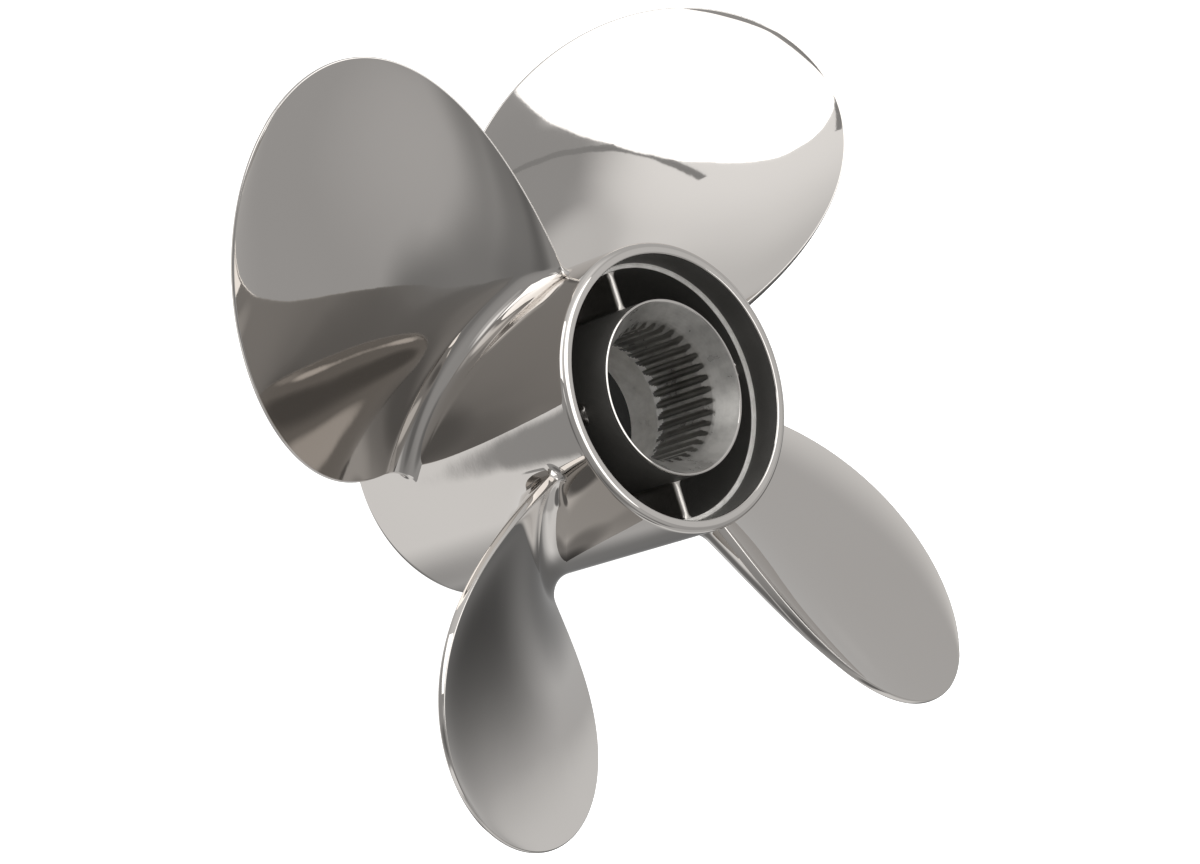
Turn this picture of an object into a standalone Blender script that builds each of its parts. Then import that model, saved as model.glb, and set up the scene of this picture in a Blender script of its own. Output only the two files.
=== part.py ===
# Four-blade, left-hand boat propeller with the exhaust led through its hub.
# It stands on the forward end of its hub: +Z runs aft along the shaft, and the origin is the
# centre of the forward face. Lengths are in metres and angles in radians.

import math

import bmesh
import bpy

# Hub barrel: the outer tube that carries the blades
HUB_LENGTH = 0.1425
BARREL_RADIUS = 0.0612
BARREL_SEGMENTS = 72
AFT_EDGE_ROUND = 0.0026
FORWARD_EDGE_ROUND = 0.0042
MOUTH_RADIUS = 0.0560
MOUTH_DEPTH = 0.0130
PASSAGE_RADIUS = 0.0533
LEDGE_ROUND = 0.0010
FORWARD_MOUTH_RADIUS = 0.0548
FORWARD_MOUTH_DEPTH = 0.0030

# Inner hub: the tube with the splined bore
INNER_RADIUS = 0.0372
INNER_AFT_RECESS = 0.0015
INNER_FORWARD_RECESS = 0.0060
INNER_EDGE_CHAMFER = 0.0007
LEAD_IN_RADIUS = 0.0353
SPLINE_ROOT_RADIUS = 0.0296
SPLINE_TIP_RADIUS = 0.0277
SPLINE_TEETH = 36
SPLINE_PHASE = math.radians(2.1)
SPLINE_START = 0.0110
SPLINE_END = 0.0465
SPLINE_END_CHAMFER = 0.0060
RELIEF_START = 0.0600
RELIEF_RADIUS = 0.0325
RELIEF_TAPER = 0.0030
GROOVE_SHARE = 0.40
LAND_SHARE = 0.34

# Ribs between the barrel and the inner hub
RIB_COUNT = 4
RIB_ANGLE = math.radians(71.0)
RIB_THICKNESS = 0.0036
RIB_AFT_RECESS = 0.0172
RIB_FORWARD_RECESS = 0.0200
RIB_EDGE_ROUND = 0.0010

# Blades: each is laid out along a left-hand helix from a line at constant angle
BLADE_COUNT = 4
TIP_RADIUS = 0.2032
PITCH = 0.470
STATION_ZERO = 0.0594
GENERATOR_HEIGHT = HUB_LENGTH - 0.0212
RAKE = 0.128
RAKE_GROWTH = 0.52
CAMBER = 0.14
CAMBER_MIDDLE = 0.075
CHORD_FULL = 0.1700
CHORD_DROP = 0.0590
CHORD_POWER = 3.9
MIDDLE_FULL = 0.0955
MIDDLE_DROP = 0.0380
FACE_HOLLOW = 0.0018
CUP_HEIGHT = 0.0022
CUP_WIDTH = 0.0060
ROOT_THICKNESS = 0.0090
TIP_THICKNESS = 0.0038
THINNING_POWER = 2
WEDGE_WIDTH = 0.0090
TRAILING_EDGE = 0.0036
TRAILING_BULGE = 0.0008
LEADING_EDGE = 0.0022
LEADING_BULGE = 0.0011
TIP_EDGE = 0.0027
TIP_EDGE_POWER = 6
ROOT_FILLET = 0.0100
NOSE_SHARE = 0.45
NOSE_LENGTH = 0.16
SMALL_STEP = 1e-6
POINTS_ALONG_CHORD = 17
THICKNESS_STRIPS = 4
FILLET_STEPS = (0.0, 0.09, 0.26, 0.52, 1.0)
SPAN_STEPS = (0.18, 0.29, 0.40, 0.50, 0.60, 0.69, 0.77, 0.84, 0.90, 0.95, 0.98, 0.994, 0.9993)

# Gap that keeps touching pieces apart
SEAT_GAP = 0.0003

STEEL = (0.62, 0.60, 0.57)
DARK_STEEL = (0.20, 0.20, 0.19)


def clear_scene():
    for obj in list(bpy.data.objects):
        bpy.data.objects.remove(obj, do_unlink=True)


def metal(name, colour, roughness):
    material = bpy.data.materials.new(name)
    material.use_nodes = True
    shader = material.node_tree.nodes["Principled BSDF"]
    shader.inputs["Base Color"].default_value = (*colour, 1.0)
    shader.inputs["Metallic"].default_value = 1.0
    shader.inputs["Roughness"].default_value = roughness
    return material


def add_object(name, shape, material, smooth_below):
    bmesh.ops.recalc_face_normals(shape, faces=shape.faces)
    mesh = bpy.data.meshes.new(name)
    shape.to_mesh(mesh)
    shape.free()
    mesh.materials.append(material)
    mesh.shade_smooth()
    mesh.set_sharp_from_angle(angle=math.radians(smooth_below))
    obj = bpy.data.objects.new(name, mesh)
    bpy.context.collection.objects.link(obj)
    return obj


def quarter_arc(centre_r, centre_z, radius, start, steps):
    """Points of a quarter circle in the radius-height plane, turning counter-clockwise."""
    points = []
    for step in range(steps + 1):
        angle = start + 0.5 * math.pi * step / steps
        points.append((centre_r + radius * math.cos(angle), centre_z + radius * math.sin(angle)))
    return points


def turned(profile, segments):
    """A closed profile of (radius, height) points spun about the shaft axis."""
    shape = bmesh.new()
    corners = [shape.verts.new((radius, 0.0, height)) for radius, height in profile]
    edges = []
    for index, corner in enumerate(corners):
        edges.append(shape.edges.new((corner, corners[(index + 1) % len(corners)])))
    bmesh.ops.spin(
        shape, geom=corners + edges, cent=(0, 0, 0), axis=(0, 0, 1),
        angle=2 * math.pi, steps=segments, use_merge=True, use_normal_flip=False,
    )
    bmesh.ops.remove_doubles(shape, verts=shape.verts, dist=1e-6)
    return shape


def join_rings(shape, rings, close=False):
    """Quads between neighbouring rings of vertices; close joins the last ring to the first."""
    count = len(rings[0])
    pairs = list(zip(rings, rings[1:]))
    if close:
        pairs.append((rings[-1], rings[0]))
    for lower, upper in pairs:
        for index in range(count):
            after = (index + 1) % count
            shape.faces.new((lower[index], lower[after], upper[after], upper[index]))


def barrel_profile():
    top = HUB_LENGTH
    profile = quarter_arc(
        BARREL_RADIUS - FORWARD_EDGE_ROUND, FORWARD_EDGE_ROUND, FORWARD_EDGE_ROUND, -0.5 * math.pi, 3
    )
    profile += quarter_arc(BARREL_RADIUS - AFT_EDGE_ROUND, top - AFT_EDGE_ROUND, AFT_EDGE_ROUND, 0.0, 3)
    profile.append((MOUTH_RADIUS, top))
    profile.append((MOUTH_RADIUS, top - MOUTH_DEPTH))
    profile.append((PASSAGE_RADIUS + LEDGE_ROUND, top - MOUTH_DEPTH))
    profile.append((PASSAGE_RADIUS, top - MOUTH_DEPTH - LEDGE_ROUND))
    profile.append((PASSAGE_RADIUS, FORWARD_MOUTH_DEPTH))
    profile.append((FORWARD_MOUTH_RADIUS, 0.0))
    return profile


def hub_barrel(material):
    return add_object("hub_barrel", turned(barrel_profile(), BARREL_SEGMENTS), material, 40)


def tooth_angles():
    """Angles of one tooth: two corners of the groove's bottom, then two of the land's top."""
    spacing = 2 * math.pi / SPLINE_TEETH
    groove = 0.5 * GROOVE_SHARE * spacing
    land = 0.5 * LAND_SHARE * spacing
    return spacing, (-groove, groove, 0.5 * spacing - land, 0.5 * spacing + land)


def inner_hub_ring(shape, groove_radius, land_radius, height):
    spacing, corners = tooth_angles()
    ring = []
    for tooth in range(SPLINE_TEETH):
        for index, corner in enumerate(corners):
            radius = groove_radius if index < 2 else land_radius
            angle = SPLINE_PHASE + tooth * spacing + corner
            ring.append(shape.verts.new((radius * math.cos(angle), radius * math.sin(angle), height)))
    return ring


def splined_hub(material):
    top = HUB_LENGTH - INNER_AFT_RECESS
    cone_slope = (SPLINE_START - INNER_AFT_RECESS) / (LEAD_IN_RADIUS - SPLINE_ROOT_RADIUS)
    tip_start = SPLINE_START + cone_slope * (SPLINE_ROOT_RADIUS - SPLINE_TIP_RADIUS)
    rings = (
        (INNER_RADIUS - INNER_EDGE_CHAMFER, INNER_RADIUS - INNER_EDGE_CHAMFER, top),
        (LEAD_IN_RADIUS, LEAD_IN_RADIUS, top),
        (SPLINE_ROOT_RADIUS, SPLINE_ROOT_RADIUS, HUB_LENGTH - SPLINE_START),
        (SPLINE_ROOT_RADIUS, SPLINE_TIP_RADIUS, HUB_LENGTH - tip_start),
        (SPLINE_ROOT_RADIUS, SPLINE_TIP_RADIUS, HUB_LENGTH - SPLINE_END + SPLINE_END_CHAMFER),
        (SPLINE_ROOT_RADIUS, SPLINE_ROOT_RADIUS, HUB_LENGTH - SPLINE_END),
        (SPLINE_ROOT_RADIUS, SPLINE_ROOT_RADIUS, HUB_LENGTH - RELIEF_START),
        (RELIEF_RADIUS, RELIEF_RADIUS, HUB_LENGTH - RELIEF_START - RELIEF_TAPER),
        (RELIEF_RADIUS, RELIEF_RADIUS, INNER_FORWARD_RECESS + RELIEF_TAPER),
        (LEAD_IN_RADIUS, LEAD_IN_RADIUS, INNER_FORWARD_RECESS),
        (INNER_RADIUS - INNER_EDGE_CHAMFER, INNER_RADIUS - INNER_EDGE_CHAMFER, INNER_FORWARD_RECESS),
        (INNER_RADIUS, INNER_RADIUS, INNER_FORWARD_RECESS + INNER_EDGE_CHAMFER),
        (INNER_RADIUS, INNER_RADIUS, top - INNER_EDGE_CHAMFER),
    )
    shape = bmesh.new()
    join_rings(shape, [inner_hub_ring(shape, *ring) for ring in rings], close=True)
    return add_object("splined_hub", shape, material, 35)


def rib(number, material):
    """A radial web with rounded fore and aft edges, between the inner hub and the barrel."""
    inner = INNER_RADIUS + SEAT_GAP
    outer = PASSAGE_RADIUS - SEAT_GAP
    half = 0.5 * RIB_THICKNESS
    # the corners of the outer end stay inside the round wall that they meet
    outer = math.sqrt(outer * outer - half * half)
    low = RIB_FORWARD_RECESS
    high = HUB_LENGTH - RIB_AFT_RECESS
    shape = bmesh.new()
    bmesh.ops.create_cube(shape, size=1.0)
    for corner in shape.verts:
        corner.co.x = inner if corner.co.x < 0 else outer
        corner.co.y *= RIB_THICKNESS
        corner.co.z = low if corner.co.z < 0 else high
    ends = [
        edge for edge in shape.edges
        if abs(edge.verts[0].co.x - edge.verts[1].co.x) > half
    ]
    bmesh.ops.bevel(
        shape, geom=ends, offset=RIB_EDGE_ROUND, segments=3, affect="EDGES", profile=0.5,
    )
    obj = add_object(f"rib_{number}", shape, material, 40)
    obj.rotation_euler.z = RIB_ANGLE + (number - 1) * 2 * math.pi / RIB_COUNT
    return obj


def span_share(radius):
    return (radius - STATION_ZERO) / (TIP_RADIUS - STATION_ZERO)


def chord_length(radius):
    share = span_share(radius)
    return (CHORD_FULL - CHORD_DROP * (1 - share) ** 3) * math.sqrt(1 - share ** CHORD_POWER)


def chord_middle(radius):
    return MIDDLE_FULL - MIDDLE_DROP * (1 - span_share(radius)) ** 2


def blade_point(radius, along, off):
    """A point of the blade: along runs on the helix to the leading edge, off is normal to it, aft."""
    lead = math.atan2(PITCH, 2 * math.pi * radius)
    outboard = radius - STATION_ZERO
    angle = (along * math.cos(lead) + off * math.sin(lead)) / radius
    height = GENERATOR_HEIGHT + RAKE * outboard + RAKE_GROWTH * outboard ** 2
    height += CAMBER * (along - CAMBER_MIDDLE) ** 2
    height += off * math.cos(lead) - along * math.sin(lead)
    return (radius * math.cos(angle), radius * math.sin(angle), height)


def trailing_outline(radius):
    return chord_middle(radius) - 0.5 * chord_length(radius)


def from_trailing_edge(radius, share):
    """Distance from the trailing edge, square to the outline."""
    slope = (trailing_outline(radius) - trailing_outline(radius - SMALL_STEP)) / SMALL_STEP
    return chord_length(radius) * share / math.hypot(1, slope)


def edge_thicknesses(radius):
    """Thickness of the trailing and the leading edge; both come to one value at the tip."""
    near_tip = span_share(radius) ** TIP_EDGE_POWER
    return tuple(edge + (TIP_EDGE - edge) * near_tip for edge in (TRAILING_EDGE, LEADING_EDGE))


def blade_thickness(radius, share):
    """Thickness at a share of the chord: it grows quickly from the trailing edge, then thins out."""
    trailing, leading = edge_thicknesses(radius)
    full = ROOT_THICKNESS + (TIP_THICKNESS - ROOT_THICKNESS) * span_share(radius) ** THINNING_POWER
    grown = 1 - math.exp(-from_trailing_edge(radius, share) / WEDGE_WIDTH)
    wedge = trailing + (full - trailing) * grown
    return leading + (wedge - leading) * (1 - share ** 2)


def face_depth(radius, share):
    """How far the aft face lies below a line between its edges: a shallow hollow and the cup."""
    cup = CUP_HEIGHT * (1 - share) * (1 - math.exp(-from_trailing_edge(radius, share) / CUP_WIDTH))
    return FACE_HOLLOW * chord_length(radius) / CHORD_FULL * 4 * share * (1 - share) + cup


def fillet_growth(radius, foot, share):
    """How far the root fillet stands out from the section; it is smaller at the trailing edge."""
    from_nose = min(1.0, share / NOSE_LENGTH)
    size = ROOT_FILLET * (NOSE_SHARE + (1 - NOSE_SHARE) * from_nose ** 2 * (3 - 2 * from_nose))
    rise = radius - foot
    if rise >= size:
        return 0.0
    return size - math.sqrt(size ** 2 - (size - rise) ** 2)


def chord_shares():
    last = POINTS_ALONG_CHORD - 1
    return [0.5 - 0.5 * math.cos(math.pi * index / last) for index in range(POINTS_ALONG_CHORD)]


def blade_section(shape, radius, foot):
    """Lines across the thickness, aft face to forward face, from the trailing to the leading edge.

    The first and last lines bulge to round the edges off; every point keeps to this radius."""
    start = trailing_outline(radius) + TRAILING_BULGE
    reach = chord_length(radius) - TRAILING_BULGE - LEADING_BULGE
    bulges = {0.0: -TRAILING_BULGE, 1.0: LEADING_BULGE}
    lines = []
    for share in chord_shares():
        along = start + reach * share
        growth = fillet_growth(radius, foot, share)
        thickness = blade_thickness(radius, share)
        half = 0.5 * thickness + growth
        centre = -0.5 * thickness - face_depth(radius, share)
        bulge = bulges.get(share, 0.0)
        bulge += math.copysign(growth, bulge) if bulge else 0.0
        line = []
        for step in range(THICKNESS_STRIPS + 1):
            turn = math.pi * step / THICKNESS_STRIPS
            off = centre + half * math.cos(turn)
            point = blade_point(radius, along + bulge * math.sin(turn), off)
            line.append(shape.verts.new(point))
        lines.append(line)
    return lines


def section_outline(lines):
    """The closed loop of vertices round a section."""
    leading = lines[-1][1:-1]
    trailing = lines[0][1:-1]
    aft = [line[0] for line in lines]
    forward = [line[-1] for line in lines]
    return aft + leading + forward[::-1] + trailing[::-1]


def close_section(shape, lines):
    for first, second in zip(lines, lines[1:]):
        for step in range(THICKNESS_STRIPS):
            shape.faces.new((first[step], first[step + 1], second[step + 1], second[step]))


def blade(number, material):
    foot = BARREL_RADIUS + SEAT_GAP
    radii = [foot + ROOT_FILLET * step for step in FILLET_STEPS]
    radii += [STATION_ZERO + (TIP_RADIUS - STATION_ZERO) * step for step in SPAN_STEPS]
    shape = bmesh.new()
    sections = [blade_section(shape, radius, foot) for radius in radii]
    join_rings(shape, [section_outline(lines) for lines in sections])
    close_section(shape, sections[0])
    close_section(shape, sections[-1])
    loose = [corner for corner in shape.verts if not corner.link_faces]
    bmesh.ops.delete(shape, geom=loose, context="VERTS")
    obj = add_object(f"blade_{number}", shape, material, 50)
    obj.rotation_euler.z = (number - 1) * 2 * math.pi / BLADE_COUNT
    return obj


def build_propeller():
    clear_scene()
    polished = metal("polished_steel", STEEL, 0.12)
    machined = metal("machined_steel", DARK_STEEL, 0.35)
    hub_barrel(polished)
    splined_hub(machined)
    for number in range(1, RIB_COUNT + 1):
        rib(number, polished)
    for number in range(1, BLADE_COUNT + 1):
        blade(number, polished)


build_propeller()
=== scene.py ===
# Four-blade boat propeller in polished stainless steel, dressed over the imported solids.
# Lengths are in metres, +Z runs aft along the shaft, and the hub's forward end is on the floor.

import math
import bpy
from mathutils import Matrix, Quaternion, Vector


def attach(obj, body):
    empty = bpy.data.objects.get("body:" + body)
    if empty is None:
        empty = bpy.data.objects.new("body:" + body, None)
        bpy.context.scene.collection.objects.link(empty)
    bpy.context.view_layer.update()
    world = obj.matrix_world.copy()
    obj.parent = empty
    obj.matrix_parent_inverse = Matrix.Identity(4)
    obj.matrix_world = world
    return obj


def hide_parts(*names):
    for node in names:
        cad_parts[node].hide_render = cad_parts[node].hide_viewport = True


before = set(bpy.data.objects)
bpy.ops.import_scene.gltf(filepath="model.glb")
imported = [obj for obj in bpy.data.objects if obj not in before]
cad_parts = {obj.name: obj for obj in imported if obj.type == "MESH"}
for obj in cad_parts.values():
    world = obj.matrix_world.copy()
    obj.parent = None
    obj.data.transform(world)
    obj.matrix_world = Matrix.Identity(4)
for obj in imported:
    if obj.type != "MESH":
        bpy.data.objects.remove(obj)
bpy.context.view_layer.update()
turn = 2 * math.pi


# Helpers
def letGo():
    bpy.ops.object.select_all(action="DESELECT")


def takeUp(obj):
    letGo()
    obj.select_set(True)
    bpy.context.view_layer.objects.active = obj


def startPiece(name):
    # the primitive just added becomes the piece
    obj = bpy.context.active_object
    obj.name = name
    obj.data.name = name
    takeUp(obj)
    return obj


def finishPiece(obj, material, node, smoothAngle):
    takeUp(obj)
    bpy.ops.object.transform_apply(location=True, rotation=True, scale=True)
    bpy.ops.object.shade_smooth_by_angle(angle=math.radians(smoothAngle))
    obj.data.materials.clear()
    obj.data.materials.append(material)
    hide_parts(node)
    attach(obj, "root")


def addFinishes(obj, finishes):
    # more finishes after the piece's first one; gives the index of each by its name
    finishIndex = {}
    for finish in finishes:
        obj.data.materials.append(finish)
        finishIndex[finish.name] = len(obj.data.materials) - 1
    return finishIndex


def closeNormals():
    # doubles merged first, then the faces turned outwards
    bpy.ops.mesh.select_all(action="SELECT")
    bpy.ops.mesh.remove_doubles(threshold=1e-6)
    bpy.ops.mesh.normals_make_consistent(inside=False)


def quarterRound(centreRadius, centreHeight, radius, startAngle, steps):
    points = []
    for step in range(steps + 1):
        angle = math.radians(startAngle + 90 * step / steps)
        points.append((centreRadius + radius * math.cos(angle),
                       centreHeight + radius * math.sin(angle)))
    return points


def turnedTube(name, profile, around):
    # a ring at the first point, extruded and scaled from point to point, then bridged shut
    firstRadius, firstHeight = profile[0]
    bpy.ops.mesh.primitive_circle_add(vertices=around, radius=firstRadius,
                                      location=(0, 0, firstHeight))
    tube = startPiece(name)
    bpy.ops.object.transform_apply(location=True)
    bpy.ops.object.mode_set(mode="EDIT")
    bpy.ops.mesh.select_all(action="SELECT")
    lastRadius, lastHeight = firstRadius, firstHeight
    for radius, height in profile[1:]:
        bpy.ops.mesh.extrude_region_move(
            TRANSFORM_OT_translate={"value": (0, 0, height - lastHeight)})
        grow = radius / lastRadius
        bpy.ops.transform.resize(value=(grow, grow, 1), center_override=(0, 0, height))
        lastRadius, lastHeight = radius, height
    bpy.ops.mesh.select_mode(type="EDGE")
    bpy.ops.mesh.select_all(action="DESELECT")
    bpy.ops.mesh.select_non_manifold(extend=False, use_wire=False, use_boundary=True,
                                     use_multi_face=False, use_non_contiguous=False,
                                     use_verts=False)
    bpy.ops.mesh.bridge_edge_loops()
    closeNormals()
    bpy.ops.object.mode_set(mode="OBJECT")
    return tube


# Finishes
def newMaterial(name):
    material = bpy.data.materials.new(name)
    material.use_nodes = True
    nodes = material.node_tree.nodes
    return material, nodes, material.node_tree.links, nodes["Principled BSDF"]


def noiseNode(nodes, links, place, scale, detail, roughness):
    noise = nodes.new("ShaderNodeTexNoise")
    noise.inputs["Scale"].default_value = scale
    noise.inputs["Detail"].default_value = detail
    noise.inputs["Roughness"].default_value = roughness
    links.new(place, noise.inputs["Vector"])
    return noise.outputs["Fac"]


def spreadNode(nodes, links, value, low, high, start=0.3, end=0.7):
    spread = nodes.new("ShaderNodeMapRange")
    spread.inputs["From Min"].default_value = start
    spread.inputs["From Max"].default_value = end
    spread.inputs["To Min"].default_value = low
    spread.inputs["To Max"].default_value = high
    links.new(value, spread.inputs["Value"])
    return spread.outputs["Result"]


def bumpNode(nodes, links, height, distance, strength, before=None):
    bump = nodes.new("ShaderNodeBump")
    bump.inputs["Distance"].default_value = distance
    bump.inputs["Strength"].default_value = strength
    links.new(height, bump.inputs["Height"])
    if before:
        links.new(before, bump.inputs["Normal"])
    return bump.outputs["Normal"]


def toneNode(nodes, links, value, dark, light):
    tone = nodes.new("ShaderNodeMix")
    tone.data_type = "RGBA"
    tone.inputs["A"].default_value = (*dark, 1)
    tone.inputs["B"].default_value = (*light, 1)
    links.new(value, tone.inputs["Factor"])
    return tone.outputs["Result"]


polishValues = {
    "dark": (0.640, 0.610, 0.580),
    "light": (0.690, 0.660, 0.630),
    "smoothest": 0.015,
    "roughest": 0.035,
    "waveSize": 28.0,       # scale of the waves left by hand polishing
    "waveHeight": 0.00008,
    "cloudSize": 9.0,       # scale of the patches of darker and rougher steel
    "lineSize": 420.0,
    "lineHeight": 0.000002,
}

satinValues = {
    "dark": (0.50, 0.475, 0.445),
    "light": (0.62, 0.590, 0.555),
    "smoothest": 0.26,
    "roughest": 0.38,
    "waveSize": 60.0,
    "waveHeight": 0.00010,
    "cloudSize": 9.0,
    "lineSize": 420.0,
    "lineHeight": 0.00001,
}


def makePolish(values, name):
    material, nodes, links, shader = newMaterial(name)
    place = nodes.new("ShaderNodeTexCoord").outputs["Object"]
    wide = noiseNode(nodes, links, place, values["waveSize"], 2.0, 0.4)
    cloud = noiseNode(nodes, links, place, values["cloudSize"], 3.0, 0.5)
    fine = noiseNode(nodes, links, place, values["lineSize"], 4.0, 0.6)
    links.new(toneNode(nodes, links, cloud, values["dark"], values["light"]),
              shader.inputs["Base Color"])
    links.new(spreadNode(nodes, links, cloud, values["smoothest"], values["roughest"]),
              shader.inputs["Roughness"])
    normal = bumpNode(nodes, links, wide, values["waveHeight"], 1.0)
    normal = bumpNode(nodes, links, fine, values["lineHeight"], 1.0, normal)
    links.new(normal, shader.inputs["Normal"])
    shader.inputs["Metallic"].default_value = 1.0
    return material


insideValues = {
    "dark": (0.110, 0.106, 0.099),
    "light": (0.165, 0.160, 0.150),
    "smoothest": 0.38,
    "roughest": 0.62,
    "cloudSize": 34.0,
    "grainSize": 900.0,
    "grainHeight": 0.00008,
    "metallic": 0.3,
}

# painted shade: a darker copy of the cast finish for the deep relief, standing in for the shade
# that falls there
deepShadeValues = {
    "dark": (0.030, 0.029, 0.027),
    "light": (0.050, 0.048, 0.045),
    "smoothest": 0.45,
    "roughest": 0.65,
    "cloudSize": 34.0,
    "grainSize": 900.0,
    "grainHeight": 0.00008,
    "metallic": 0.3,
}


def makeInside(values, name):
    # the cast walls of the exhaust passages, left as they came and darkened; the deep relief's
    # copy is darker still as painted shade
    material, nodes, links, shader = newMaterial(name)
    place = nodes.new("ShaderNodeTexCoord").outputs["Object"]
    cloud = noiseNode(nodes, links, place, values["cloudSize"], 4.0, 0.6)
    grain = noiseNode(nodes, links, place, values["grainSize"], 3.0, 0.6)
    links.new(toneNode(nodes, links, cloud, values["dark"], values["light"]),
              shader.inputs["Base Color"])
    links.new(spreadNode(nodes, links, cloud, values["smoothest"], values["roughest"]),
              shader.inputs["Roughness"])
    links.new(bumpNode(nodes, links, grain, values["grainHeight"], 0.6), shader.inputs["Normal"])
    shader.inputs["Metallic"].default_value = values["metallic"]
    return material


machinedValues = {
    "dark": (0.27, 0.262, 0.247),
    "light": (0.42, 0.407, 0.385),
    "smoothest": 0.24,
    "roughest": 0.38,
    "cloudSize": 90.0,
    "ringScale": 254.65542,
    "ringHeight": 0.00002,
    "metallic": 0.45,
}

# a broached finish whose darker colour is also painted shade in the spline's grooves
grooveShadeValues = {
    "dark": (0.22, 0.213, 0.200),
    "light": (0.32, 0.310, 0.291),
    "smoothest": 0.30,
    "roughest": 0.42,
    "cloudSize": 60.0,
    "ringScale": 254.65542,
    "ringHeight": 0.00001,
    "metallic": 0.85,
}

# turned steel painted near white: painted light on the mouth's ledge and in the deep plain bore
turnedPaintedLightValues = {
    "dark": (0.80, 0.775, 0.735),
    "light": (0.97, 0.945, 0.900),
    "smoothest": 0.26,
    "roughest": 0.40,
    "cloudSize": 150.0,
    "ringScale": 254.65542,
    "ringHeight": 0.00002,
    "metallic": 0.05,
}


def makeMachined(values, name):
    # bored and broached steel: fine turning rings round the shaft axis; the groove copy is darker
    # as painted shade and the turned copy near white as painted light
    material, nodes, links, shader = newMaterial(name)
    place = nodes.new("ShaderNodeTexCoord").outputs["Object"]
    rings = nodes.new("ShaderNodeTexWave")
    rings.wave_type = "BANDS"
    rings.bands_direction = "Z"
    rings.inputs["Scale"].default_value = values["ringScale"]
    rings.inputs["Distortion"].default_value = 0.6
    rings.inputs["Detail"].default_value = 2.0
    links.new(place, rings.inputs["Vector"])
    cloud = noiseNode(nodes, links, place, values["cloudSize"], 4.0, 0.6)
    mottle = spreadNode(nodes, links, cloud, 0.0, 1.0, 0.36, 0.64)
    links.new(toneNode(nodes, links, mottle, values["dark"], values["light"]),
              shader.inputs["Base Color"])
    links.new(spreadNode(nodes, links, cloud, values["smoothest"], values["roughest"]),
              shader.inputs["Roughness"])
    links.new(bumpNode(nodes, links, rings.outputs["Fac"], values["ringHeight"], 0.5),
              shader.inputs["Normal"])
    shader.inputs["Metallic"].default_value = values["metallic"]
    return material


polishedSteel = makePolish(polishValues, "polishedSteel")
satinSteel = makePolish(satinValues, "satinSteel")
castInside = makeInside(insideValues, "castInside")
paintedShadeInside = makeInside(deepShadeValues, "paintedShadeInside")
machinedSteel = makeMachined(machinedValues, "machinedSteel")
broachedGrooveShade = makeMachined(grooveShadeValues, "broachedGrooveShade")
turnedPaintedLight = makeMachined(turnedPaintedLightValues, "turnedPaintedLight")
print("finishes ready")


# Hub barrel
barrelValues = {
    "length": 0.1425,
    "outside": 0.0612,
    "aftRound": 0.0026,
    "forwardRound": 0.0042,
    "mouth": 0.0560,        # inside radius of the aft mouth
    "rimFlat": 0.0004,      # flat of the rim, between its two rounds
    "mouthFloor": 0.0551,
    "mouthDepth": 0.0130,
    "cornerRise": 0.0006,   # the small slope where the mouth's wall meets the ledge
    "cornerStep": 0.0005,
    "paintedLightRise": 0.0008,   # the near-white turned finish, painted light, goes this far up the wall
    "ledgeBand": 0.001,
    "passage": 0.0533,
    "ledgeRound": 0.0005,
    "forwardMouth": 0.0548,
    "forwardMouthDepth": 0.0030,
    "lipRound": 0.0007,
    "support": 0.0012,      # a ring this far from each round keeps the mirror straight
    "around": 384,
}


def barrelProfile(v):
    top = v["length"]
    points = quarterRound(v["outside"] - v["forwardRound"], v["forwardRound"],
                          v["forwardRound"], -90, 8)
    points.append((v["outside"], v["forwardRound"] + v["support"]))
    points.append((v["outside"], top - v["aftRound"] - v["support"]))
    points += quarterRound(v["outside"] - v["aftRound"], top - v["aftRound"], v["aftRound"], 0, 8)
    points.append((v["mouth"] + v["lipRound"] + v["rimFlat"], top))
    points += quarterRound(v["mouth"] + v["lipRound"], top - v["lipRound"], v["lipRound"], 90, 4)
    points.append((v["mouth"], top - v["lipRound"] - v["support"]))
    floorHeight = top - v["mouthDepth"]
    points.append((v["mouthFloor"], floorHeight + v["cornerRise"]))
    points.append((v["mouthFloor"] - v["cornerStep"], floorHeight))
    points += quarterRound(v["passage"] + v["ledgeRound"], floorHeight - v["ledgeRound"],
                           v["ledgeRound"], 90, 6)
    points.append((v["passage"], floorHeight - v["ledgeRound"] - v["support"]))
    points.append((v["passage"], v["forwardMouthDepth"]))
    points.append((v["forwardMouth"], 0.0))
    return points


def makeBarrel(v):
    barrel = turnedTube("hubBarrel", barrelProfile(v), v["around"])
    finishPiece(barrel, polishedSteel, "hub_barrel", 30)
    # the walls inside the mouth are dark, the ledge gets the turned finish painted near white as
    # painted light, and the rim stays bright
    finishIndex = addFinishes(barrel, (castInside, turnedPaintedLight))
    top = v["length"]
    for face in barrel.data.polygons:
        radius = math.hypot(face.center.x, face.center.y)
        facesIn = face.normal.x * face.center.x + face.normal.y * face.center.y < -0.5 * radius
        deep = face.center.z < top - v["mouthDepth"] - v["ledgeRound"]
        wall = radius < v["mouth"] + 1e-4 and face.center.z < top - v["lipRound"] and facesIn
        if wall and (deep or face.center.z > top - v["mouthDepth"] + v["paintedLightRise"]):
            face.material_index = finishIndex["castInside"]
        elif radius < v["mouth"] and abs(face.center.z - top + v["mouthDepth"]) < v["ledgeBand"]:
            face.material_index = finishIndex["turnedPaintedLight"]


makeBarrel(barrelValues)
print("hub barrel made")


# Inner hub with the spline
splineValues = {
    "outside": 0.0372,
    "aft": 0.1410,
    "forward": 0.0060,
    "edge": 0.0005,
    "leadIn": 0.0360,
    "root": 0.0296,
    "tip": 0.0277,
    "teeth": 36,
    "phase": 2.1,           # degrees from +X to the middle of a groove
    "start": 0.1315,
    "leadLength": 0.0042,   # the cone goes on this far into the lands
    "end": 0.0960,
    "endLength": 0.0060,
    "reliefStart": 0.0792,
    "relief": 0.0325,
    "reliefTaper": 0.0030,
    "squareness": 2.0,      # how flat the lands and the groove floors are
    "stepsToTooth": 12,
    "rings": 10,            # rings in each run-out
}


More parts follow.
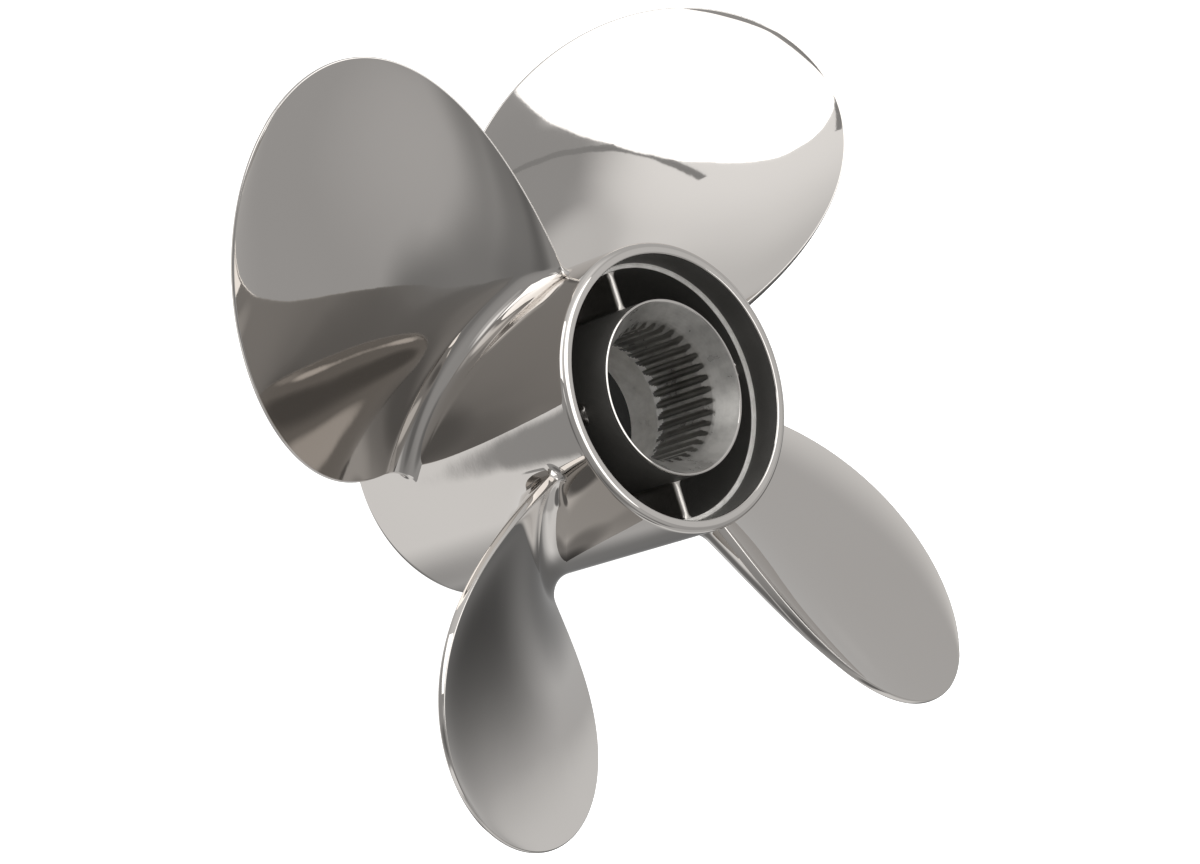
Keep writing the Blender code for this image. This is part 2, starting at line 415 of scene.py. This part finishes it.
def splineProfile(v):
    points = [
        (v["leadIn"], v["forward"]),
        (v["outside"] - v["edge"], v["forward"]),
        (v["outside"], v["forward"] + v["edge"]),
        (v["outside"], v["aft"] - v["edge"] - 0.001),
        (v["outside"], v["aft"] - v["edge"]),
        (v["outside"] - 0.3 * v["edge"], v["aft"] - 0.3 * v["edge"]),
        (v["outside"] - v["edge"], v["aft"]),
        (v["leadIn"] + 0.0003, v["aft"]),
        (v["leadIn"], v["aft"] - 0.0003),
        # a ring near each end of the cone keeps its shading straight
        (v["leadIn"] - 0.0010, v["aft"] - 0.0019),
        (v["root"] + 0.0008, v["start"] + 0.0013),
    ]
    for ring in range(v["rings"] + 1):
        points.append((v["root"], v["start"] - v["leadLength"] * ring / v["rings"]))
    for ring in range(v["rings"] + 1):
        points.append((v["root"], v["end"] + v["endLength"] * (1 - ring / v["rings"])))
    points.append((v["root"], v["end"] - 0.0004))
    return points + [
        (v["root"], v["reliefStart"]),
        (v["relief"], v["reliefStart"] - v["reliefTaper"]),
        (v["relief"], v["forward"] + v["reliefTaper"]),
    ]


def landRadius(height, v):
    # the lands run out into the cone and into the plain bore
    depth = v["root"] - v["tip"]
    lead = v["root"] - depth * (v["start"] - height) / v["leadLength"]
    runOut = v["root"] - depth * (height - v["end"]) / v["endLength"]
    return max(v["tip"], lead, runOut)


def splineRadius(share, height, v):
    # rounded grooves between the lands
    wave = math.tanh(v["squareness"] * math.cos(turn * share)) / math.tanh(v["squareness"])
    groove = v["tip"] + (v["root"] - v["tip"]) * 0.5 * (1 + wave)
    return max(groove, landRadius(height, v))


def makeSplinedHub(v):
    hub = turnedTube("splinedHub", splineProfile(v), v["teeth"] * v["stepsToTooth"])
    # the lands between the grooves are drawn in towards the shaft
    pitch = turn / v["teeth"]
    for corner in hub.data.vertices:
        radius = math.hypot(corner.co.x, corner.co.y)
        if radius < v["root"] + 1e-5 and v["end"] < corner.co.z < v["start"]:
            share = math.atan2(corner.co.y, corner.co.x) / pitch
            grow = splineRadius(share, corner.co.z, v) / radius
            corner.co.x *= grow
            corner.co.y *= grow
    spin = Quaternion((0, 0, 1), math.radians(v["phase"]))
    hub.data.transform(spin.to_matrix().to_4x4())
    finishPiece(hub, machinedSteel, "splined_hub", 40)
    finishIndex = addFinishes(hub, (castInside, broachedGrooveShade, polishedSteel,
                                    turnedPaintedLight, paintedShadeInside))
    shallow = 0.08 * (v["root"] - v["tip"])
    for face in hub.data.polygons:
        radius = math.hypot(face.center.x, face.center.y)
        if radius > v["outside"] - 1e-4 and face.center.z < v["aft"] - v["edge"]:
            face.material_index = finishIndex["castInside"]
        # the deep relief is painted darker: painted shade
        elif radius < v["relief"] + 1e-4 and face.center.z < v["reliefStart"]:
            face.material_index = finishIndex["paintedShadeInside"]
        elif radius > v["leadIn"] and face.center.z > v["aft"] - v["edge"] - 1e-5:
            face.material_index = finishIndex["polishedSteel"]
        # the plain bore and the run-out get the near-white finish: painted light in the deep bore
        elif face.center.z < v["end"]:
            face.material_index = finishIndex["turnedPaintedLight"]
        # the groove faces: broached finish, painted darker as painted shade in the recesses
        elif face.center.z < v["start"] and radius > landRadius(face.center.z, v) + shallow:
            face.material_index = finishIndex["broachedGrooveShade"]
        elif face.center.z < v["end"] + v["endLength"]:
            face.material_index = finishIndex["turnedPaintedLight"]


makeSplinedHub(splineValues)
print("splined hub made")


# Ribs
ribValues = {
    "count": 4,
    "angle": 71.0,
    "thickness": 0.0042,
    "aft": 0.1253,
    "forward": 0.0200,
    "edgeRound": 0.0018,
    "flare": 0.0028,        # how far the ends spread where they join the walls
    "sink": 0.0004,
}


def makeRib(number, v):
    inner = splineValues["outside"] - v["sink"]
    outer = barrelValues["passage"] + v["sink"]
    length = outer - inner
    height = v["aft"] - v["forward"]
    bpy.ops.mesh.primitive_cube_add(size=1, location=(0, 0, 0))
    rib = startPiece("rib" + str(number))
    rib.scale = (length, v["thickness"], height)
    bpy.ops.object.transform_apply(scale=True)
    bpy.ops.object.mode_set(mode="EDIT")
    bpy.ops.mesh.select_mode(type="EDGE")
    bpy.ops.mesh.select_all(action="DESELECT")
    bpy.ops.object.mode_set(mode="OBJECT")
    for edge in rib.data.edges:
        first, second = (rib.data.vertices[index].co for index in edge.vertices)
        edge.select = abs(first.x - second.x) > 0.5 * length
    bpy.ops.object.mode_set(mode="EDIT")
    bpy.ops.mesh.bevel(offset=v["edgeRound"], segments=5, affect="EDGES")
    # slices along the web, so that its ends can spread into the walls
    steps = 24
    for step in range(1, steps):
        bpy.ops.mesh.select_all(action="SELECT")
        bpy.ops.mesh.bisect(plane_co=(length * (step / steps - 0.5), 0, 0), plane_no=(1, 0, 0))
    bpy.ops.object.mode_set(mode="OBJECT")
    for corner in rib.data.vertices:
        toEnd = 0.5 * length - abs(corner.co.x)
        spread = max(0.0, 1 - toEnd / v["flare"])
        swell = v["flare"] * (1 - math.sqrt(max(0.0, 1 - spread ** 2)))
        corner.co.y += math.copysign(swell, corner.co.y)
    centre = Vector((0.5 * (inner + outer), 0, 0.5 * (v["aft"] + v["forward"])))
    angle = math.radians(v["angle"] + 360 * (number - 1) / v["count"])
    for corner in rib.data.vertices:
        corner.co = Quaternion((0, 0, 1), angle) @ (corner.co + centre)
    finishPiece(rib, satinSteel, "rib_" + str(number), 35)


for number in range(1, ribValues["count"] + 1):
    makeRib(number, ribValues)
print("ribs made")


# Blades
bladeValues = {
    "count": 4,
    "tip": 0.2031,
    "pitch": 0.470,
    "stationZero": 0.0594,
    "generator": 0.1213,
    "rake": 0.128,
    "rakeGrowth": 0.52,
    "camber": 0.14,
    "camberMiddle": 0.075,
    "chord": 0.1700,
    "chordDrop": 0.0590,
    "chordPower": 3.9,
    "middle": 0.0955,
    "middleDrop": 0.0380,
    "hollow": 0.0018,
    "cup": 0.0022,
    "cupWidth": 0.0060,
    "cupSpread": 0.0200,    # the cup grows wider towards the tip
    "rootThickness": 0.0090,
    "tipThickness": 0.0038,
    "wedgeWidth": 0.0090,
    "trailing": 0.0036,
    "trailingBulge": 0.0007,
    "leading": 0.0022,
    "leadingBulge": 0.0010,
    "tipEdge": 0.0027,
    "edgeSquareness": 0.6,  # of the trailing edge: 1 is half round, less is a flatter wall
    "fillet": 0.0100,
    "noseShare": 0.45,      # fillet at the trailing edge against the fillet along the faces
    "noseLength": 0.16,
    "frontReach": 0.45,     # how far the fillet runs on past the leading edge, against its width
    "filletShare": 0.22,    # share of the slab's length that becomes the fillet
    "sink": 0.000006,       # depth of the fillet's foot under the barrel's skin
    "lastRow": 0.030,
    "columns": 96,
    "rows": 110,
    "layers": 18,
}


def chordLength(radius, v):
    share = (radius - v["stationZero"]) / (v["tip"] - v["stationZero"])
    broad = v["chord"] - v["chordDrop"] * (1 - share) ** 3
    return broad * math.sqrt(1 - min(share, 1) ** v["chordPower"])


def chordMiddle(radius, v):
    share = (radius - v["stationZero"]) / (v["tip"] - v["stationZero"])
    return v["middle"] - v["middleDrop"] * (1 - share) ** 2


def bladePoint(radius, along, off, v):
    # along runs on the left-hand helix to the leading edge, off is square to it, aft
    lead = math.atan2(v["pitch"], turn * radius)
    outboard = radius - v["stationZero"]
    angle = (along * math.cos(lead) + off * math.sin(lead)) / radius
    height = v["generator"] + v["rake"] * outboard + v["rakeGrowth"] * outboard ** 2
    height += v["camber"] * (along - v["camberMiddle"]) ** 2
    height += off * math.cos(lead) - along * math.sin(lead)
    return Vector((radius * math.cos(angle), radius * math.sin(angle), height))


def outlinePoint(radius, side, v):
    # where the outline is at this radius, and which way it faces there; side -1 is trailing
    step = 1e-6
    near = chordMiddle(radius, v) + 0.5 * side * chordLength(radius, v)
    inboard = chordMiddle(radius - step, v) + 0.5 * side * chordLength(radius - step, v)
    slope = (near - inboard) / step
    size = math.hypot(1, slope)
    return near, side / size, -side * slope / size


def rowPlace(slabY, fillet, v):
    # radius and fillet growth of a row of the slab
    barrel = barrelValues["outside"]
    if slabY < v["filletShare"]:
        lean = 0.5 * math.pi * (1 - slabY / v["filletShare"])
        return barrel + fillet * (1 - math.sin(lean)) - v["sink"], fillet * (1 - math.cos(lean))
    reach = (slabY - v["filletShare"]) / (1 - v["filletShare"])
    start = barrel + fillet
    last = v["tip"] - (v["tip"] - start) * v["lastRow"] ** 2
    climb = 1 - (1 - reach * (1 - v["lastRow"])) ** 2
    climb = climb / (1 - v["lastRow"] ** 2)
    return start + (last - start) * climb * (1 - 0.6 * (1 - reach) ** 3), 0.0


def eased(share):
    share = max(0.0, min(1.0, share))
    return share * share * (3 - 2 * share)


def wrapPoint(slab, v):
    # slab.x runs trailing to leading edge, slab.y root to tip, slab.z aft to forward face
    share = 0.5 - 0.5 * math.cos(math.pi * slab.x)
    fillet = v["fillet"] * (v["noseShare"] + (1 - v["noseShare"]) * eased(share / v["noseLength"]))
    radius, growth = rowPlace(slab.y, fillet, v)
    spanShare = (radius - v["stationZero"]) / (v["tip"] - v["stationZero"])
    chord = chordLength(radius, v)
    back, backAlong, backOut = outlinePoint(radius, -1, v)
    front, frontAlong, frontOut = outlinePoint(radius, 1, v)
    # both edges come to one thickness at the tip
    trailing = v["trailing"] + (v["tipEdge"] - v["trailing"]) * spanShare ** 6
    leading = v["leading"] + (v["tipEdge"] - v["leading"]) * spanShare ** 6
    fromEdge = chord * share * abs(backAlong)
    full = v["rootThickness"] + (v["tipThickness"] - v["rootThickness"]) * spanShare ** 2
    wedge = trailing + (full - trailing) * (1 - math.exp(-fromEdge / v["wedgeWidth"]))
    thickness = leading + (wedge - leading) * (1 - share ** 2)
    cupWidth = v["cupWidth"] + v["cupSpread"] * spanShare ** 2
    cup = v["cup"] * (1 - share) * (1 - math.exp(-fromEdge / cupWidth))
    depth = v["hollow"] * chord / v["chord"] * 4 * share * (1 - share) + cup
    # the edge is set in from the outline by its bulge, square to the outline above the fillet
    backOut *= eased(slab.y / v["filletShare"])
    frontOut *= eased(slab.y / v["filletShare"])
    back -= v["trailingBulge"] * backAlong
    front -= v["leadingBulge"] * frontAlong
    setIn = v["trailingBulge"] * backOut * (1 - share) + v["leadingBulge"] * frontOut * share
    along = back + (front - back) * share
    bow = v["lastRow"] ** 2 * (v["tip"] - barrelValues["outside"]) * slab.y ** 12
    onEdge = min(slab.x, 1 - slab.x, 1 - slab.y) < 1e-6
    square = 1 - (1 - v["edgeSquareness"]) * (1 - share) * math.exp(-growth / 0.002)
    lean = math.cos(math.pi * slab.z)
    off = (0.5 * thickness + growth) * math.copysign(abs(lean) ** square, lean)
    off = off - 0.5 * thickness - depth
    radius += 4 * bow * share * (1 - share) - setIn
    if onEdge:
        swell = max(0.0, math.sin(math.pi * slab.z)) ** square
        size = v["trailingBulge"] * (1 - share) + v["leadingBulge"] * share
        outAlong = backAlong * (1 - share) + frontAlong * share
        outUp = backOut * (1 - share) + frontOut * share
        along += outAlong * size * swell
        radius += outUp * size * swell
        if growth:
            along += growth * swell * (v["frontReach"] if slab.x > 0.5 else -1)
    return bladePoint(radius, along, off, v)


def makeBlade(v):
    # a flat slab, extruded layer by layer, is wrapped onto the helix
    bpy.ops.mesh.primitive_grid_add(x_subdivisions=v["columns"], y_subdivisions=v["rows"], size=1,
                                    location=(0.5, 0.5, 0))
    blade = startPiece("blade1")
    bpy.ops.object.transform_apply(location=True)
    bpy.ops.object.mode_set(mode="EDIT")
    bpy.ops.mesh.select_all(action="SELECT")
    for layer in range(v["layers"]):
        bpy.ops.mesh.extrude_region_move(TRANSFORM_OT_translate={"value": (0, 0, 1 / v["layers"])})
    bpy.ops.object.mode_set(mode="OBJECT")
    for corner in blade.data.vertices:
        corner.co = wrapPoint(corner.co, v)
    bpy.ops.object.mode_set(mode="EDIT")
    closeNormals()
    bpy.ops.object.mode_set(mode="OBJECT")
    return blade


firstBlade = makeBlade(bladeValues)
blades = [firstBlade]
for number in range(2, bladeValues["count"] + 1):
    takeUp(firstBlade)
    bpy.ops.object.duplicate(linked=False)
    copy = startPiece("blade" + str(number))
    quarter = Quaternion((0, 0, 1), turn * (number - 1) / bladeValues["count"])
    copy.data.transform(quarter.to_matrix().to_4x4())
    blades.append(copy)
for number, blade in enumerate(blades, start=1):
    finishPiece(blade, polishedSteel, "blade_" + str(number), 60)
print("blades made")


# Camera, floor and light
cameraValues = {
    "place": (0.30783, 0.98229, 1.19725),
    "aim": (0.00758, 0.04923, 0.14250),
    "roll": -71.63,         # degrees about the view
    "lens": 108.05,
    "sensor": 36.0,
}


def makeCamera(v):
    bpy.ops.object.camera_add(location=v["place"])
    camera = bpy.context.active_object
    camera.name = "photoCamera"
    view = Vector(v["aim"]) - Vector(v["place"])
    upright = view.to_track_quat("-Z", "Y")
    camera.rotation_mode = "QUATERNION"
    camera.rotation_quaternion = upright @ Quaternion((0, 0, 1), math.radians(-v["roll"]))
    camera.data.lens = v["lens"]
    camera.data.sensor_width = v["sensor"]
    camera.data.clip_end = 60
    bpy.context.scene.camera = camera


makeCamera(cameraValues)

floorValues = {"size": 16.0, "drop": 0.0004, "glow": 1.0}


def makeFloor(v):
    bpy.ops.mesh.primitive_plane_add(size=v["size"], location=(0, 0, -v["drop"]))
    floor = startPiece("studioFloor")
    material, nodes, links, shader = newMaterial("paleFloor")
    shader.inputs["Base Color"].default_value = (0.9, 0.9, 0.9, 1)
    shader.inputs["Roughness"].default_value = 0.9
    shader.inputs["Emission Color"].default_value = (1, 1, 1, 1)
    shader.inputs["Emission Strength"].default_value = v["glow"]
    floor.data.materials.append(material)
    floor.visible_glossy = False
    floor.visible_diffuse = False
    floor.visible_shadow = False


makeFloor(floorValues)

# what the steel mirrors: light from above, grey walls, a dark side; directions in degrees
roomValues = {
    "ground": 0.86,
    "wall": 0.53,
    "horizon": -0.70,       # height of the ground's edge on the unit sphere
    "seen": 1.1,
    "spots": [
        # azimuth, elevation, half width, softness, brightness
        (80, 32, 81.4, 0.6, 0.35),
        (165, 38, 50, 10, 0.43),
        (166, 28, 13, 4, 0.22),
        (170, 70, 20, 16, 0.56),
        (112, 26, 30, 10, 0.26),
        (132, 40, 6, 4, 0.32),
        (148, 30, 11, 8, 0.25),
        (127, 29, 9, 5, 0.21),
        (118, 14, 9, 5, 0.16),
        (157, 13, 12, 6, 0.55),
        (84, 8, 22, 10, 0.35),
        (64, 17, 5, 4, 0.60),
        (55, 9, 5, 3, 1.10),
        (70, 60, 30, 22, 0.38),
        (70, 82, 2, 4, 1.10),
        (338, 44, 26, 14, 0.92),
        (345, 64, 12, 10, 1.05),
        (345, 8, 24, 14, 0.72),
        (30, 45, 9, 6, 0.70),
        (252, 49, 10, 6, 0.66),
        (112, -33, 12, 3, 0.88),
        (78, -17, 13, 6, 0.18),
        (180, -22, 24, 8, 0.82),
        (186, 6, 19, 5, 0.54),
        (213, 0, 11, 6, 0.30),
        (157, -3, 9, 3, 0.16),
        (178, -50, 16, 14, 0.50),
        (218, -44, 14, 10, 0.20),
        (229, -9, 7, 12, 0.07),
        (232, -32, 10, 12, 0.15),
        (256, 2, 7, 6, 0.75),
        (175, -68, 14, 8, 0.18),
    ],
}


def makeRoom(v):
    world = bpy.context.scene.world or bpy.data.worlds.new("studioRoom")
    bpy.context.scene.world = world
    world.use_nodes = True
    nodes, links = world.node_tree.nodes, world.node_tree.links
    nodes.clear()
    direction = nodes.new("ShaderNodeTexCoord").outputs["Generated"]
    level = nodes.new("ShaderNodeSeparateXYZ")
    links.new(direction, level.inputs[0])
    value = spreadNode(nodes, links, level.outputs["Z"], v["ground"], v["wall"],
                       v["horizon"] - 0.03, v["horizon"] + 0.03)
    for azimuth, elevation, width, soft, brightness in v["spots"]:
        flat = math.cos(math.radians(elevation))
        toward = (flat * math.cos(math.radians(azimuth)), flat * math.sin(math.radians(azimuth)),
                  math.sin(math.radians(elevation)))
        dot = nodes.new("ShaderNodeVectorMath")
        dot.operation = "DOT_PRODUCT"
        dot.inputs[1].default_value = toward
        links.new(direction, dot.inputs[0])
        edge = nodes.new("ShaderNodeMapRange")
        edge.interpolation_type = "SMOOTHSTEP"
        edge.inputs["From Min"].default_value = math.cos(math.radians(width + soft))
        edge.inputs["From Max"].default_value = math.cos(math.radians(max(0, width - soft)))
        links.new(dot.outputs["Value"], edge.inputs["Value"])
        mixed = nodes.new("ShaderNodeMix")
        links.new(edge.outputs["Result"], mixed.inputs["Factor"])
        links.new(value, mixed.inputs["A"])
        mixed.inputs["B"].default_value = brightness
        value = mixed.outputs["Result"]
    mirrored = nodes.new("ShaderNodeBackground")
    mirrored.inputs["Color"].default_value = (1, 1, 1, 1)
    links.new(value, mirrored.inputs["Strength"])
    plain = nodes.new("ShaderNodeBackground")
    plain.inputs["Color"].default_value = (1, 1, 1, 1)
    plain.inputs["Strength"].default_value = v["seen"]
    path = nodes.new("ShaderNodeLightPath")
    choice = nodes.new("ShaderNodeMixShader")
    links.new(path.outputs["Is Camera Ray"], choice.inputs["Fac"])
    links.new(mirrored.outputs["Background"], choice.inputs[1])
    links.new(plain.outputs["Background"], choice.inputs[2])
    output = nodes.new("ShaderNodeOutputWorld")
    links.new(choice.outputs["Shader"], output.inputs["Surface"])


makeRoom(roomValues)

# soft boxes: shape, place, what they point at, size, glow
softBoxValues = {
    "overhead": ("ELLIPSE", (0.20, -0.60, 2.07), (0.20, -0.60, 0.0), (2.16, 1.90), 1.43),
    "side": ("RECTANGLE", (2.32, 1.09, 0.52), (0.0, 0.0, 0.07), (1.8, 2.1), 1.5),
}
# the frame of the overhead soft box, a thin seam in the steel: place, size, degrees about Z, shade
cardValues = {
    "softBoxEdge": ((0.77, 0.235, 2.09), (1.55, 0.045), -39.4, 0.25),
}


def makeSoftBox(name, shape, place, aim, size, glow):
    bpy.ops.object.light_add(type="AREA", location=place)
    lamp = bpy.context.active_object
    lamp.name = name
    lamp.data.shape = shape
    lamp.data.size, lamp.data.size_y = size
    area = size[0] * size[1] * (math.pi / 4 if shape == "ELLIPSE" else 1)
    lamp.data.energy = glow * math.pi * area
    lamp.rotation_mode = "QUATERNION"
    toward = Vector(aim) - Vector(place)
    lamp.rotation_quaternion = toward.to_track_quat("-Z", "Y")


def makeCard(name, place, size, spin, shade):
    bpy.ops.mesh.primitive_plane_add(size=1, location=place, rotation=(0, 0, math.radians(spin)))
    card = startPiece(name)
    card.scale = (*size, 1)
    material, nodes, links, shader = newMaterial(name)
    shader.inputs["Base Color"].default_value = (0.02, 0.02, 0.02, 1)
    shader.inputs["Emission Color"].default_value = (1, 1, 1, 1)
    shader.inputs["Emission Strength"].default_value = shade
    card.data.materials.append(material)
    card.visible_shadow = False


for name, values in softBoxValues.items():
    makeSoftBox(name, *values)
for name, values in cardValues.items():
    makeCard(name, *values)
bpy.context.scene.view_settings.view_transform = "Standard"
bpy.context.scene.view_settings.look = "None"
print("camera, floor and light ready")
